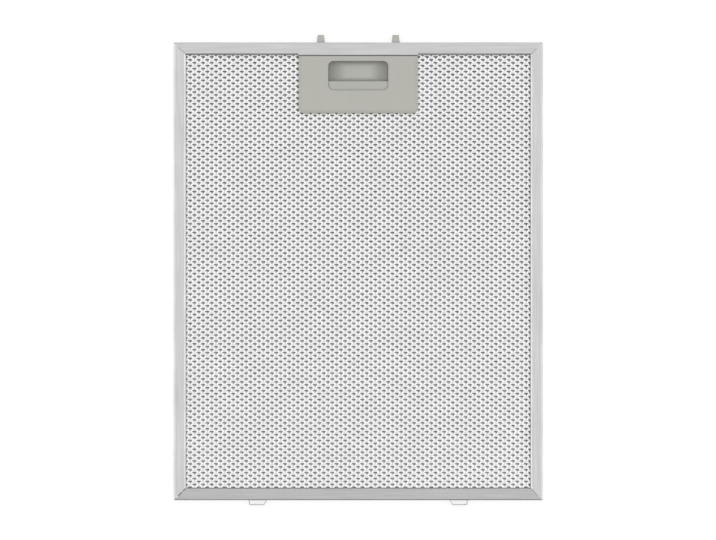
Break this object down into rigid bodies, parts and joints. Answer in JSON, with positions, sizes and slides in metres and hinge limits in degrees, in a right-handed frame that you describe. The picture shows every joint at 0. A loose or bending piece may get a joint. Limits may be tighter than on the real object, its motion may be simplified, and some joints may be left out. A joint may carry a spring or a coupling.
{
  "type": "cooker hood grease filter",
  "caption": "Flat rectangular grease filter for a cooker hood: expanded aluminium mesh in a folded channel frame, with a sprung finger latch at one edge and locating lugs at the other.",
  "frame": {"origin": "under the middle of the overall box, on the plane that the filter's back lies on", "axes": "+X across the filter to the right as seen from the front, +Y towards the latch tongues, +Z out of the front face"},
  "size_m": [0.25, 0.3184, 0.009],
  "materials": {
    "frame_aluminium": "mill finish with fine grain along each side",
    "mesh_aluminium": "bright expanded sheet",
    "handle_plastic": "fine moulded grain, warm grey",
    "spring_steel": "plain spring strip"
  },
  "bodies": {
    "filter": {"frame_channel": "frame_aluminium", "mesh_front": "mesh_aluminium", "mesh_inner_1": "mesh_aluminium", "mesh_inner_2": "mesh_aluminium", "mesh_inner_3": "mesh_aluminium", "mesh_back": "mesh_aluminium", "handle_plate": "handle_plastic", "handle_tray": "handle_plastic", "latch_spring": "spring_steel"},
    "latch": {"latch_slide": "handle_plastic"}
  },
  "joints": [
    {"name": "latch_pull", "type": "slide", "parent": "filter", "child": "latch", "axis": [0, -1, 0], "range_m": [0, 0.006], "stiffness_N_per_m": 300, "springref_m": -0.004, "deforming": ["latch_spring"]}
  ]
}
